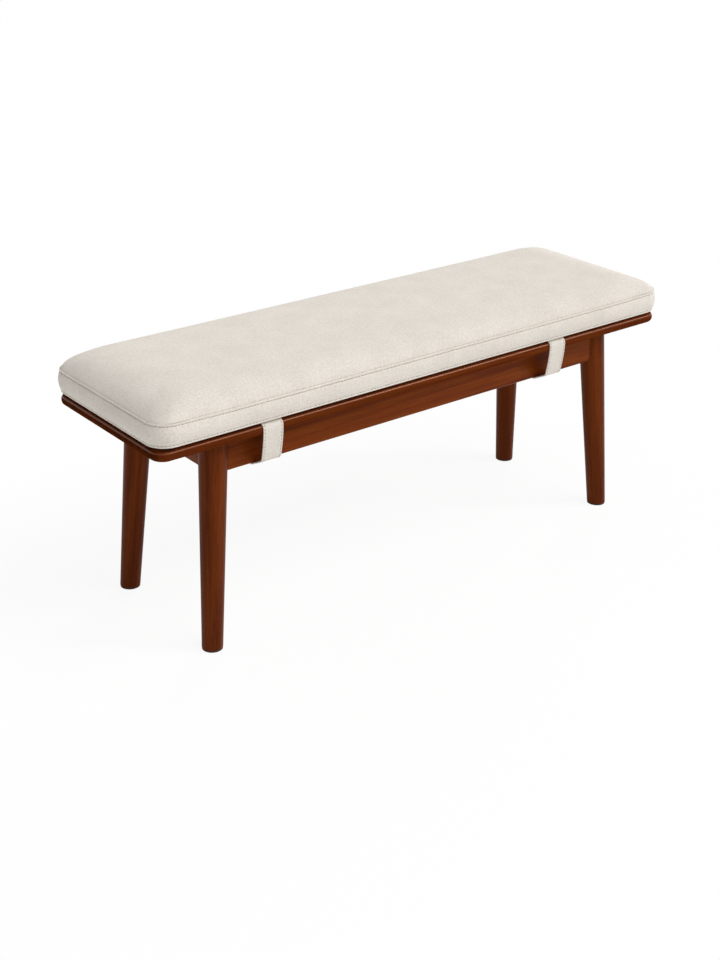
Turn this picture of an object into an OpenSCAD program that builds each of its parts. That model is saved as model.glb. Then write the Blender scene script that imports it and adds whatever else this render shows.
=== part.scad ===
// Bench with a strapped-on seat cushion. Millimetres, +Z up. The bench stands on the floor at z = 0,
// centred on the origin, with its length along X and its front towards -Y.

/* [Seat board] */
// Length of the seat board
board_l = 1100; // [900:10:1400]
// Width of the seat board, front to back
board_w = 318; // [300:2:400]
// Thickness of the seat board
board_t = 18; // [17:0.5:26]
// Radius of the board's corners, seen from above
board_corner_r = 24; // [20:1:45]
// Radius of the board's rounded edges, above and below
board_edge_r = 8; // [3:0.5:8]
// Height of the board's underside above the floor
under_board_z = 363; // [320:1:420]

/* [Legs] */
// From the board's end to a leg's axis, under the board
leg_inset_x = 128.3; // [110:0.1:150]
// From the board's long edge to a leg's axis, under the board
leg_inset_y = 47.7; // [44:0.1:62]
// How far a foot stands out past the top of its leg, along the bench
leg_splay_x = 29.3; // [0:0.1:45]
// How far a foot stands out past the top of its leg, across the bench
leg_splay_y = 21.1; // [0:0.1:35]
// Radius of a leg under the board
leg_top_r = 24; // [22:0.1:28]
// Radius of a leg at the floor
leg_foot_r = 17.6; // [13:0.1:22]
// Thickness of the felt pad under each foot
pad_t = 3; // [2:0.5:6]
// Width of the rim of wood left round a felt pad
pad_rim = 0.4; // [0.2:0.1:2]

/* [Aprons] */
// Height of the aprons
apron_h = 59.5; // [54:0.5:75]
// Thickness of the aprons
apron_t = 22; // [18:0.5:24]
// From a leg's axis, under the board, to the outer face of a long apron
long_apron_face = 15.4; // [12:0.1:18]
// From a leg's axis, under the board, to the outer face of an end apron
end_apron_face = 11.7; // [10:0.1:15]
// Radius of the aprons' rounded lower edges
apron_edge_r = 4.5; // [1:0.5:8]
// Thickness of the tenons on the aprons
tenon_t = 9; // [6:0.5:10]
// Height of the tenons
tenon_h = 36; // [28:1:40]
// How far a tenon goes into its leg
tenon_l = 16; // [10:0.5:18]

/* [Cross rail] */
// Thickness of the rail across the middle
rail_t = 22; // [18:0.5:30]
// Height of that rail
rail_h = 42; // [38:1:50]
// Thickness of its stub tenons
rail_tenon_t = 10; // [6:0.5:14]
// Height of its stub tenons
rail_tenon_h = 22; // [16:1:28]
// How far its stub tenons go into the long aprons
rail_tenon_l = 8; // [4:0.5:12]

/* [Corner blocks] */
// Height of the corner blocks
block_h = 40; // [36:1:50]
// From the inner corner of the aprons to the near edge of a block
block_near = 30; // [28:1:31]
// From the inner corner of the aprons to the far edge of a block
block_far = 46; // [46:1:60]
// Depth of a block where its screws go in
block_end_t = 12; // [11:0.5:14]

/* [Screws] */
// Diameter of the screws through the blocks into the aprons
block_screw_d = 4; // [3:0.5:4.5]
// Length of those screws
block_screw_l = 26; // [24:1:28]
// Height between the two screws at each end of a block
block_screw_pitch = 20; // [14:1:24]
// Diameter of the screws up into the seat board
board_screw_d = 4.5; // [3.5:0.5:5]
// How far those screws go into the seat board
board_screw_bite = 12; // [8:0.5:14]
// How deep their heads sit in the blocks and the rail
board_screw_sink = 12; // [8:0.5:16]
// From a long apron's inner face to the rail's screw
rail_screw_inset = 40; // [25:1:60]

/* [Cushion] */
// From the board's ends to the cushion's lower edge
cushion_inset_x = 3; // [0:0.5:20]
// From the board's long edges to the cushion's lower edge
cushion_inset_y = 1; // [0:0.5:12]
// Radius of the cushion's corners, seen from above
cushion_corner_r = 30; // [22:1:45]
// How far in from its lower edge the cushion meets the board
rim_w = 20; // [12:0.5:30]
// Height of its lower edge above the board
lower_edge_z = 5; // [4:0.5:7]
// Height above the board of the seam that joins the top panel to the side band
seam_z = 41.5; // [30:0.5:46]
// How much higher that seam lies at the cushion's two ends
seam_rise = 4; // [0:0.5:8]
// Height of the cushion at the middle of its crown
crown_z = 74.5; // [66:0.5:95]
// How far the crown falls from the middle to the shoulder
crown_fall = 2; // [0:0.5:10]
// Width over which the top panel rolls over to the seam
shoulder_w = 46; // [30:1:70]
// How far the side band bulges out
band_bulge = 8.5; // [0:0.5:12]
// How far the stitching under the seam draws the band in
seam_draw = 1.8; // [0:0.1:3]
// How far the seam's ridge stands out
seam_ridge = 0.8; // [0:0.1:2]
// How far the long sides are drawn in between their corners
side_draw = 2; // [0:0.5:6]
// How much lower the top lies at the two ends
end_fall = 12.5; // [0:0.5:15]
// Length over which the top falls towards each end
end_fall_l = 90; // [80:5:300]
// Thickness of the quilted cover
cover_t = 2.2; // [1.5:0.1:4]
// Thickness of the cloth under the cushion
base_t = 1.2; // [0.8:0.1:2]

/* [Straps] */
// Width of a strap
strap_w = 38; // [25:1:50]
// Thickness of a strap
strap_t = 2.2; // [1.5:0.1:3]
// From the left corner blocks to the left straps
left_strap_room = 5.4; // [2:0.1:80]
// From the right corner blocks to the right straps
right_strap_room = 63.9; // [2:0.1:80]
// How far a strap is tucked in under the cushion's lower edge
strap_tuck = 4.5; // [0:0.5:5]
// How far the loose fold at a strap's foot stands off the apron
strap_standoff = 26.8; // [12:0.1:30]
// Height of the middle of that fold above the apron's lower edge
strap_fold_z = 18.5; // [10:0.5:24]
// Radius of that fold
strap_fold_r = 8; // [4:0.5:10]
// Height of a strap's end above the apron's lower edge
strap_end_z = 40; // [36:1:48]
// Thickness of each of the two hook-and-loop tapes
tape_t = 1.2; // [0.8:0.1:2]
// Height of the tapes
tape_h = 24; // [15:1:26]
// Margin of strap left bare round its tape
tape_margin = 3; // [1:0.5:5]

/* [Clearances] */
// Room round a tenon in its mortise, and where an apron is shaped to a leg
joint_gap = 0.2; // [0.1:0.05:0.4]
// Room past the end of a tenon for glue
glue_room = 1; // [0.5:0.5:2]
// Room round a screw's shank
screw_gap = 0.1; // [0.05:0.05:0.3]
// Room round a screw's head
head_gap = 0.5; // [0.3:0.1:1]
// Room between cloth and what it lies against
cloth_gap = 0.3; // [0.2:0.1:0.5]

/* [Hidden] */

WOOD = "#6e3a1e";
INNER_WOOD = "#a9794a";
STEEL = "#9a9c9e";
CLOTH = "#dbd2c6";
FOAM = "#efe6c4";
FELT = "#2a1a12";
TAPE = "#cfc7ba";

LEFT = -1;
RIGHT = 1;
FRONT = -1;
BACK = 1;
SIDES = [LEFT, RIGHT];
FACES = [FRONT, BACK];
PAST = 1;               // how far a cutting tool runs past the face that it cuts
ROLL_POWER = 0.92;      // under 1, which makes the top panel's roll fuller than a quarter of an oval
BULGE_TURN = 160;       // how much of a half wave of 180 degrees the side band's bulge takes up to its seam
UNDER_SEAM = 0.92;      // share of the seam's height at which its stitches draw the band in
INNER_CORNER = 0.9;     // least corner radius of the crown's rings, as a share of what fits
RISE_POWER = 8;         // how steeply the seam's rise comes on towards the ends
FOLD_TURN = -12;        // the way that a strap's face looks where its loose fold begins

board_top_z = under_board_z + board_t;
edge_r = min(board_edge_r, board_t / 2 - 0.5);
leg_x = board_l / 2 - leg_inset_x;
leg_y = board_w / 2 - leg_inset_y;
foot_x = leg_x + leg_splay_x;
foot_y = leg_y + leg_splay_y;

apron_low_z = under_board_z - apron_h;
apron_mid_z = under_board_z - apron_h / 2;
apron_r = min(apron_edge_r, apron_t / 2 - 1);
long_face_y = leg_y + long_apron_face;
long_inner_y = long_face_y - apron_t;
long_mid_y = long_face_y - apron_t / 2;
end_inner_x = leg_x + end_apron_face - apron_t;
end_mid_x = leg_x + end_apron_face - apron_t / 2;

block_mid_z = under_board_z - block_h / 2;
block_screw_x = (block_near + block_far) / 2;
block_mid = (block_near + block_far + block_end_t) / 4;
rail_screw_y = long_inner_y - rail_screw_inset;

cushion_half_l = board_l / 2 - cushion_inset_x;
cushion_half_w = board_w / 2 - cushion_inset_y;

nose = [board_w / 2 - edge_r, board_top_z - edge_r];
nose_r = edge_r + cloth_gap + strap_t / 2;
wrap_r = apron_r + cloth_gap + strap_t / 2;
strap_end = [long_inner_y - 2 * tape_t - strap_t / 2, apron_low_z + strap_end_z];
tape_low_z = strap_end[1] - tape_h - tape_margin;

// A leg's axis and radius at a height z
function axis_x(z) = foot_x - leg_splay_x * z / under_board_z;
function axis_y(z) = foot_y - leg_splay_y * z / under_board_z;
function leg_r(z) = leg_foot_r + (leg_top_r - leg_foot_r) * z / under_board_z;

// The rounded edge of a board as a flat outline, from its core at x = 0 out to x = reach
module edge_profile(reach, t, r) {
    square([reach - r, t]);
    translate([0, r]) square([reach, t - 2 * r]);
    for (z = [r, t - r]) translate([reach - r, z]) circle(r = r, $fn = 64);
}

// A board with rounded edges: the outline is pulled along its four sides and turned at its four corners
module rounded_board(l, w, t, corner, r) {
    core_x = l / 2 - corner;
    core_y = w / 2 - corner;
    translate([-core_x, -core_y, 0]) cube([2 * core_x, 2 * core_y, t]);
    for (s = SIDES) {
        translate([s * core_x, s * core_y, 0]) rotate([90, 0, s > 0 ? 0 : 180])
            linear_extrude(2 * core_y) edge_profile(corner, t, r);
        translate([-s * core_x, s * core_y, 0]) rotate([90, 0, s > 0 ? 90 : 270])
            linear_extrude(2 * core_x) edge_profile(corner, t, r);
    }
    for (turn = [[core_x, core_y, 0], [-core_x, core_y, 90], [-core_x, -core_y, 180], [core_x, -core_y, 270]])
        translate([turn[0], turn[1], 0]) rotate([0, 0, turn[2]])
            rotate_extrude(angle = 90, $fn = 96) edge_profile(corner, t, r);
}

module seat_board() {
    bore_d = board_screw_d + 2 * screw_gap;
    color(WOOD) difference() {
        translate([0, 0, under_board_z]) rounded_board(board_l, board_w, board_t, board_corner_r, edge_r);
        at_block_screws() translate([0, 0, block_h - PAST])
            cylinder(h = board_screw_bite + screw_gap + PAST, d = bore_d, $fn = 32);
        at_rail_screws() translate([0, 0, rail_h - PAST])
            cylinder(h = board_screw_bite + screw_gap + PAST, d = bore_d, $fn = 32);
    }
}

// The cone that a leg is turned from, grown by a clearance and run on past both ends
module leg_cone(side, face, grow) {
    spare = 30;
    foot = [side * foot_x, face * foot_y, 0];
    run = [side * leg_x, face * leg_y, under_board_z] - foot;
    r_per_mm = (leg_top_r - leg_foot_r) / norm(run);
    translate(foot) rotate([0, acos(run[2] / norm(run)), atan2(run[1], run[0])])
        translate([0, 0, -spare]) rotate([0, 0, 90])
            cylinder(h = norm(run) + 2 * spare, r1 = leg_foot_r - spare * r_per_mm + grow,
                     r2 = leg_top_r + spare * r_per_mm + grow, $fn = 96);
}

// The tenon at one end of a long apron, or the mortise for it when it is grown and made deeper
module long_tenon(side, face, grow, deeper) {
    root = leg_x - leg_top_r - tenon_l;
    tip = axis_x(apron_mid_z) - leg_r(apron_mid_z) + tenon_l + deeper;
    translate([side > 0 ? root : -tip, face * long_mid_y, apron_mid_z])
        translate([0, -tenon_t / 2 - grow, -tenon_h / 2 - grow])
            cube([tip - root, tenon_t + 2 * grow, tenon_h + 2 * grow]);
}

// The same for an end apron
module end_tenon(side, face, grow, deeper) {
    root = leg_y - leg_top_r - tenon_l;
    tip = axis_y(apron_mid_z) - leg_r(apron_mid_z) + tenon_l + deeper;
    translate([side * end_mid_x, face > 0 ? root : -tip, apron_mid_z])
        translate([-tenon_t / 2 - grow, 0, -tenon_h / 2 - grow])
            cube([tenon_t + 2 * grow, tip - root, tenon_h + 2 * grow]);
}

module leg(side, face) {
    wide = leg_top_r + leg_splay_x + leg_splay_y;
    color(WOOD) difference() {
        intersection() {
            leg_cone(side, face, 0);
            translate([side * leg_x - wide, face * leg_y - wide, pad_t])
                cube([2 * wide, 2 * wide, under_board_z - pad_t]);
        }
        long_tenon(side, face, joint_gap, glue_room);
        end_tenon(side, face, joint_gap, glue_room);
    }
}

module foot_pad(side, face) {
    color(FELT) translate([side * axis_x(pad_t), face * axis_y(pad_t), 0])
        cylinder(h = pad_t, r = leg_r(pad_t) - pad_rim, $fn = 64);
}

// An apron along X: square against the board, round along its two lower edges
module apron_bar(l) {
    translate([-l / 2, 0, apron_low_z]) rotate([90, 0, 90]) linear_extrude(l) {
        translate([-apron_t / 2, apron_r]) square([apron_t, apron_h - apron_r]);
        translate([-apron_t / 2 + apron_r, 0]) square([apron_t - 2 * apron_r, apron_r]);
        for (s = SIDES) translate([s * (apron_t / 2 - apron_r), apron_r]) circle(r = apron_r, $fn = 48);
    }
}

module long_apron(face) {
    color(WOOD) difference() {
        union() {
            difference() {
                translate([0, face * long_mid_y, 0]) apron_bar(2 * leg_x);
                for (side = SIDES) leg_cone(side, face, joint_gap);
            }
            for (side = SIDES) long_tenon(side, face, 0, 0);
        }
        rail_tenon(face, joint_gap, glue_room);
        for (side = SIDES) corner_frame(side, face) block_screw_pair() block_screw_hole();
    }
}

module end_apron(side) {
    color(WOOD) difference() {
        union() {
            difference() {
                translate([side * end_mid_x, 0, 0]) rotate([0, 0, 90]) apron_bar(2 * leg_y);
                for (face = FACES) leg_cone(side, face, joint_gap);
            }
            for (face = FACES) end_tenon(side, face, 0, 0);
        }
        for (face = FACES) corner_frame(side, face) swap_axes() block_screw_pair() block_screw_hole();
    }
}

// The rail's stub tenon at one end, or the mortise for it when it is grown and made deeper
module rail_tenon(face, grow, deeper) {
    reach = rail_tenon_l + deeper;
    translate([-rail_tenon_t / 2 - grow, face > 0 ? long_inner_y - PAST : -long_inner_y - reach,
               under_board_z - (rail_h + rail_tenon_h) / 2 - grow])
        cube([rail_tenon_t + 2 * grow, reach + PAST, rail_tenon_h + 2 * grow]);
}

module cross_rail() {
    color(INNER_WOOD) difference() {
        union() {
            translate([-rail_t / 2, -long_inner_y, under_board_z - rail_h])
                cube([rail_t, 2 * long_inner_y, rail_h]);
            for (face = FACES) rail_tenon(face, 0, 0);
        }
        at_rail_screws() board_screw_hole(rail_h);
    }
}

// A frame at the inner corner of two aprons: X along the long apron, Y along the end apron, both inwards
module corner_frame(side, face) {
    translate([side * end_inner_x, face * long_inner_y, 0])
        mirror([side > 0 ? 1 : 0, 0, 0]) mirror([0, face > 0 ? 1 : 0, 0]) children();
}

// Turns what lies along the corner frame's X into the same along its Y
module swap_axes() {
    mirror([1, -1, 0]) children();
}

// A wood screw: the seat of its head at z = 0, its point at z = l, and a cross cut into its head
module wood_screw(d, l) {
    head_h = 0.6 * d;
    slot_w = d / 4;
    color(STEEL) difference() {
        union() {
            translate([0, 0, -head_h]) cylinder(h = head_h, r1 = 0.7 * d, r2 = d, $fn = 32);
            cylinder(h = l - d, d = d, $fn = 32);
            translate([0, 0, l - d]) cylinder(h = d, d1 = d, d2 = d / 8, $fn = 32);
        }
        for (turn = [0, 90]) rotate([0, 0, turn])
            translate([-d / 2, -slot_w / 2, -head_h - PAST]) cube([d, slot_w, PAST + head_h / 2]);
    }
}

// The two screws from a block into the long apron, in the corner frame
module block_screw_pair() {
    for (s = SIDES) translate([block_screw_x, block_end_t, block_mid_z + s * block_screw_pitch / 2])
        rotate([90, 0, 0]) children();
}

module block_screw_hole() {
    translate([0, 0, -block_far]) cylinder(h = block_far, r = block_screw_d + head_gap, $fn = 32);
    cylinder(h = block_screw_l + screw_gap, d = block_screw_d + 2 * screw_gap, $fn = 32);
}

// The undersides of the corner blocks and of the rail, where screws go up into the seat board
module at_block_screws() {
    for (side = SIDES, face = FACES) corner_frame(side, face)
        translate([block_mid, block_mid, under_board_z - block_h]) children();
}

module at_rail_screws() {
    for (face = FACES) translate([0, face * rail_screw_y, under_board_z - rail_h]) children();
}

// The way for such a screw through wood of height h: wide for its head, then a bore for its shank
module board_screw_hole(h) {
    translate([0, 0, -PAST]) cylinder(h = board_screw_sink + PAST, r = board_screw_d + head_gap, $fn = 32);
    cylinder(h = h + PAST, d = board_screw_d + 2 * screw_gap, $fn = 32);
}

module corner_block(side, face) {
    color(INNER_WOOD) difference() {
        corner_frame(side, face) difference() {
            translate([0, 0, under_board_z - block_h]) linear_extrude(block_h) polygon([
                [block_near, 0], [block_far, 0], [block_far, block_end_t],
                [block_end_t, block_far], [0, block_far], [0, block_near]
            ]);
            block_screw_pair() block_screw_hole();
            swap_axes() block_screw_pair() block_screw_hole();
        }
        at_block_screws() board_screw_hole(block_h);
    }
}

module corner_block_screws() {
    for (side = SIDES, face = FACES) corner_frame(side, face) {
        block_screw_pair() wood_screw(block_screw_d, block_screw_l);
        swap_axes() block_screw_pair() wood_screw(block_screw_d, block_screw_l);
    }
}

module seat_board_screws() {
    at_block_screws() translate([0, 0, board_screw_sink])
        wood_screw(board_screw_d, block_h - board_screw_sink + board_screw_bite);
    at_rail_screws() translate([0, 0, board_screw_sink])
        wood_screw(board_screw_d, rail_h - board_screw_sink + board_screw_bite);
}

// The cushion's outline as spots: which side of its core, how far along it, and the way that it faces
function outline(corner_n, long_n, end_n) = concat(
    [for (i = [1:end_n]) [1, -1 + 2 * i / (end_n + 1), 0]],
    [for (i = [0:corner_n]) [1, 1, 90 * i / corner_n]],
    [for (i = [1:long_n]) [1 - 2 * i / (long_n + 1), 1, 90]],
    [for (i = [0:corner_n]) [-1, 1, 90 + 90 * i / corner_n]],
    [for (i = [1:end_n]) [-1, 1 - 2 * i / (end_n + 1), 180]],
    [for (i = [0:corner_n]) [-1, -1, 180 + 90 * i / corner_n]],
    [for (i = [1:long_n]) [-1 + 2 * i / (long_n + 1), -1, 270]],
    [for (i = [0:corner_n]) [1, -1, 270 + 90 * i / corner_n]]
);

// How much lower the top lies at x: none in the middle, growing as a square towards each end
function fall_at(x) = end_fall * pow(max(0, abs(x) - cushion_half_l + end_fall_l) / end_fall_l, 2);

// How much higher the seam lies at x: hardly at all but near each end
function rise_at(x) = seam_rise * pow(min(1, abs(x) / cushion_half_l), RISE_POWER);

// How far the long sides are drawn in: most at half the seam's height, none at a corner
function draw_at(spot, up) = up < seam_z ? side_draw * sin(180 * up / seam_z) * (1 - spot[0] * spot[0]) : 0;

// A spot of the outline moved out by level[0] and up by level[1] above the board
function cushion_point(spot, level) =
    let(half_w = cushion_half_w + level[0],
        r = max(cushion_corner_r + level[0], INNER_CORNER * min(cushion_corner_r, half_w)),
        x = spot[0] * (cushion_half_l + level[0] - r) + cos(spot[2]) * r,
        y = spot[1] * (half_w - r) + sin(spot[2]) * (r - draw_at(spot, max(0, level[1]))),
        seam_share = min(1, max(0, level[1]) / seam_z),
        top_share = max(0, level[1] - seam_z) / (crown_z - seam_z))
    [x, y, board_top_z + level[1] + rise_at(x) * seam_share * (1 - top_share) - fall_at(x) * sqrt(top_share)];

// The side band's bulge at a height above the board
function band_out(up) = band_bulge * sin(BULGE_TURN * up / seam_z);

// The top panel's roll from the seam (turn 0) to the shoulder (turn 90): a fat quarter of an oval
function roll(turn, skin) = [
    band_out(seam_z) - shoulder_w * (1 - pow(cos(turn), ROLL_POWER)) - skin * cos(turn),
    seam_z + (crown_z - crown_fall - seam_z) * pow(sin(turn), ROLL_POWER) - skin * sin(turn)
];

// The crown at an inset, which rises as a square to the middle, and where its rings lie
function crown(out, skin) = [
    out,
    crown_z - crown_fall * pow((cushion_half_w + out) / (cushion_half_w - shoulder_w), 2) - skin
];
CROWN_INSETS = [-0.6, -0.93] * cushion_half_w;

function cover_levels() = concat(
    [[-rim_w, 0], [-0.4 * rim_w, 0.4 * lower_edge_z], [0, lower_edge_z]],
    [for (up = [0.24, 0.5, 0.76] * seam_z) [band_out(up), up]],
    [[band_out(UNDER_SEAM * seam_z) - seam_draw, UNDER_SEAM * seam_z]],
    [[band_out(seam_z) + seam_ridge, seam_z]],
    [for (turn = [15, 30, 46, 63, 90]) roll(turn, 0)],
    [for (out = CROWN_INSETS) crown(out, 0)]
);

// The form inside the cover, a skin's thickness in from it all round, standing on the base cloth
function inner_levels(skin) = concat(
    [[-rim_w - skin, base_t], [-skin, 2 * lower_edge_z]],
    [for (up = [0.5, 0.84] * seam_z) [band_out(up) - seam_draw - skin, up]],
    [for (turn = [12, 30, 50, 70, 90]) roll(turn, skin)],
    [for (out = CROWN_INSETS) crown(out, skin)]
);

// A closed form: a ring of points at each level, and a point at the middle of its foot and of its top
module cushion_form(levels, top_z, corner_n, long_n, end_n) {
    spots = outline(corner_n, long_n, end_n);
    n = len(spots);
    last = len(levels) - 1;
    foot = n * len(levels);
    top = foot + 1;
    middles = [for (z = [levels[0][1], top_z]) [0, 0, board_top_z + z]];
    walls = [for (k = [0:last - 1], i = [0:n - 1])
        let(a = k * n + i, b = k * n + (i + 1) % n)
        each [[a, a + n, b + n], [a, b + n, b]]];
    ends = [for (i = [0:n - 1])
        let(a = last * n + i, b = last * n + (i + 1) % n)
        each [[foot, i, (i + 1) % n], [top, b, a]]];
    polyhedron(concat([for (level = levels, spot = spots) cushion_point(spot, level)], middles),
        concat(walls, ends));
}

module cushion_cover() {
    color(CLOTH) difference() {
        cushion_form(cover_levels(), crown_z, 6, 10, 3);
        cushion_form(concat([[-rim_w - cover_t, -PAST]], inner_levels(cover_t)), crown_z - cover_t, 3, 5, 1);
    }
}

module cushion_foam() {
    skin = cover_t + cloth_gap;
    color(FOAM) cushion_form(inner_levels(skin), crown_z - skin, 3, 5, 1);
}

module cushion_base_cloth() {
    inset = rim_w + cover_t + cloth_gap;
    color(CLOTH) translate([0, 0, board_top_z]) linear_extrude(base_t)
        polygon([for (spot = outline(3, 5, 1)) let(p = cushion_point(spot, [-inset, 0])) [p[0], p[1]]]);
}

// Points on an arc about a centre, from one angle to another
function arc(centre, r, from, to, steps) = [for (i = [0:steps])
    let(turn = from + (to - from) * i / steps) centre + r * [cos(turn), sin(turn)]];

// Points on a cubic curve between two ends, each with a handle, leaving out the ends
function curve(a, b, c, d, steps) = [for (i = [1:steps - 1]) let(t = i / steps, u = 1 - t)
    u * u * u * a + 3 * u * u * t * b + 3 * u * t * t * c + t * t * t * d];

// A strap's middle line in a plane across the bench, outwards and up: from under the cushion's lower edge
// round the board's nose, down to a loose fold, back to the apron, round under it and up its inner face
function strap_path() =
    let(root_y = cushion_half_w - strap_tuck,
        on_board = board_top_z + cloth_gap + strap_t / 2,
        over = arc(nose, nose_r, acos(max(0, root_y - nose[0]) / nose_r), 0, 6),
        outer = [long_face_y - apron_r, apron_low_z + apron_r],
        inner = [long_inner_y + apron_r, apron_low_z + apron_r],
        fold = [long_face_y + strap_standoff - strap_fold_r, apron_low_z + strap_fold_z],
        apart = fold - outer,
        back = atan2(apart[1], apart[0]) - acos((wrap_r - strap_fold_r) / norm(apart)),
        round = arc(fold, strap_fold_r, FOLD_TURN, back, 5),
        drop = (over[6][1] - round[0][1]) / 3)
    concat(
        root_y < nose[0] ? [[root_y, on_board]] : [],
        over,
        curve(over[6], over[6] - [0, drop], round[0] - drop * [sin(FOLD_TURN), -cos(FOLD_TURN)], round[0], 8),
        round,
        arc(outer, wrap_r, back, -90, 2),
        arc(inner, wrap_r, -90, -180, 5),
        [[strap_end[0], tape_low_z - tape_margin], strap_end]
    );

// A line of points made a band of thickness t
function unit(v) = v / norm(v);
module ribbon(points, t) {
    last = len(points) - 1;
    across = [for (i = [0:last])
        let(along = unit(points[min(last, i + 1)] - points[max(0, i - 1)])) [-along[1], along[0]] * t / 2];
    polygon(concat([for (i = [0:last]) points[i] + across[i]],
        [for (i = [last:-1:0]) points[i] - across[i]]));
}

// The middle of a strap along the bench
function strap_x(side) = side * (end_inner_x - block_far - strap_w / 2
    - (side == LEFT ? left_strap_room : right_strap_room));

module strap(side, face) {
    color(CLOTH) mirror([0, face < 0 ? 1 : 0, 0])
        translate([strap_x(side) - strap_w / 2, 0, 0]) rotate([90, 0, 90])
            linear_extrude(strap_w) ribbon(strap_path(), strap_t);
}

// A tape at each strap's end, some number of tapes in from the apron
module tapes(row) {
    w = strap_w - 2 * tape_margin;
    for (side = SIDES, face = FACES) color(TAPE) mirror([0, face < 0 ? 1 : 0, 0])
        translate([strap_x(side) - w / 2, long_inner_y - row * tape_t, tape_low_z]) cube([w, tape_t, tape_h]);
}

module front_apron() { long_apron(FRONT); }
module back_apron() { long_apron(BACK); }
module left_end_apron() { end_apron(LEFT); }
module right_end_apron() { end_apron(RIGHT); }
module front_left_leg() { leg(LEFT, FRONT); }
module front_right_leg() { leg(RIGHT, FRONT); }
module back_left_leg() { leg(LEFT, BACK); }
module back_right_leg() { leg(RIGHT, BACK); }
module front_left_foot_pad() { foot_pad(LEFT, FRONT); }
module front_right_foot_pad() { foot_pad(RIGHT, FRONT); }
module back_left_foot_pad() { foot_pad(LEFT, BACK); }
module back_right_foot_pad() { foot_pad(RIGHT, BACK); }
module front_left_corner_block() { corner_block(LEFT, FRONT); }
module front_right_corner_block() { corner_block(RIGHT, FRONT); }
module back_left_corner_block() { corner_block(LEFT, BACK); }
module back_right_corner_block() { corner_block(RIGHT, BACK); }
module front_left_strap() { strap(LEFT, FRONT); }
module front_right_strap() { strap(RIGHT, FRONT); }
module back_left_strap() { strap(LEFT, BACK); }
module back_right_strap() { strap(RIGHT, BACK); }
module strap_hook_tapes() { tapes(1); }
module strap_loop_tapes() { tapes(2); }

seat_board();
front_apron();
back_apron();
left_end_apron();
right_end_apron();
cross_rail();
front_left_leg();
front_right_leg();
back_left_leg();
back_right_leg();
front_left_foot_pad();
front_right_foot_pad();
back_left_foot_pad();
back_right_foot_pad();
front_left_corner_block();
front_right_corner_block();
back_left_corner_block();
back_right_corner_block();
corner_block_screws();
seat_board_screws();
cushion_cover();
cushion_foam();
cushion_base_cloth();
front_left_strap();
front_right_strap();
back_left_strap();
back_right_strap();
strap_loop_tapes();
strap_hook_tapes();
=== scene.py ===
import math

import bmesh
import bpy
import numpy as np
from mathutils import Matrix, Vector


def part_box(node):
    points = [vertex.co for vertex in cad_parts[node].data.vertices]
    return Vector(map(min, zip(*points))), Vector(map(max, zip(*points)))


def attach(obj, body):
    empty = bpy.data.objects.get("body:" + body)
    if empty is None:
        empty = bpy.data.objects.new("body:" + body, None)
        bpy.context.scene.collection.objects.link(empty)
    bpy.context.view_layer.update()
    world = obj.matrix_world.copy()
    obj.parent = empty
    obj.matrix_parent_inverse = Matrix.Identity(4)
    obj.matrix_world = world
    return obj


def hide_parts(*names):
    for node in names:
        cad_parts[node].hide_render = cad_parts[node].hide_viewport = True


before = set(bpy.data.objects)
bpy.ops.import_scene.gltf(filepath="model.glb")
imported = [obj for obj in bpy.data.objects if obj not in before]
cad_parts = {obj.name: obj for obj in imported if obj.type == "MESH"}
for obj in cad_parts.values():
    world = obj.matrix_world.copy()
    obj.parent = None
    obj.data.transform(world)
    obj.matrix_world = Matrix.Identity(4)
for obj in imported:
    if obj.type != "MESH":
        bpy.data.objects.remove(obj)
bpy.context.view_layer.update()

# Legs
# Four round legs, turned with a taper from solid hardwood, stained red-brown and lacquered satin.
# Each leans outwards both ways, has the tenons of two aprons in its top and a felt pad under its foot.
MM = 0.001


def linear(hex_colour):
    """An sRGB hex colour as linear red, green, blue and a full alpha.

    A dark part is divided by 12.92, and a lighter one follows a curve to the power of 2.4.
    """
    part = np.array([int(hex_colour[i:i + 2], 16) for i in (1, 3, 5)]) / 255
    red, green, blue = np.where(part <= 0.04045, part / 12.92, ((part + 0.055) / 1.055) ** 2.4)
    return float(red), float(green), float(blue), 1.0


def set_inputs(node, inputs):
    """Gives a node's inputs their values, or links them to the sockets given for them."""
    for name, value in inputs.items():
        if isinstance(value, bpy.types.NodeSocket):
            node.id_data.links.new(value, node.inputs[name])
        else:
            node.inputs[name].default_value = value


def add(tree, kind, inputs=None, **settings):
    """Adds one node to a material, with its settings and its inputs."""
    new = tree.nodes.new("ShaderNode" + kind)
    for option, value in settings.items():
        setattr(new, option, value)
    set_inputs(new, inputs or {})
    return new


def new_material(name):
    """A new material, its node tree and its shader."""
    material = bpy.data.materials.new(name)
    material.use_nodes = True
    return material, material.node_tree, material.node_tree.nodes["Principled BSDF"]


RINGS_SHARE, FIBRES_SHARE = 0.62, 0.38      # what each kind of streak gives to the grain's tone
DARK_AT, LIGHT_AT = 0.36, 0.64              # where on that tone the stain's two colours stand
CLOUD_LEAST, CLOUD_MOST = 0.88, 1.08        # how much of its light a broad cloud leaves
PORE_SHADE, PORE_DEPTH = 0.72, 0.15         # the same for a pore, and its depth in mm
LACQUER_SHINE = 0.07                        # a thin lacquer, whose faint shine takes on the stain's red
LACQUER_TINT = (1.0, 0.5, 0.3, 1.0)


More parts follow.
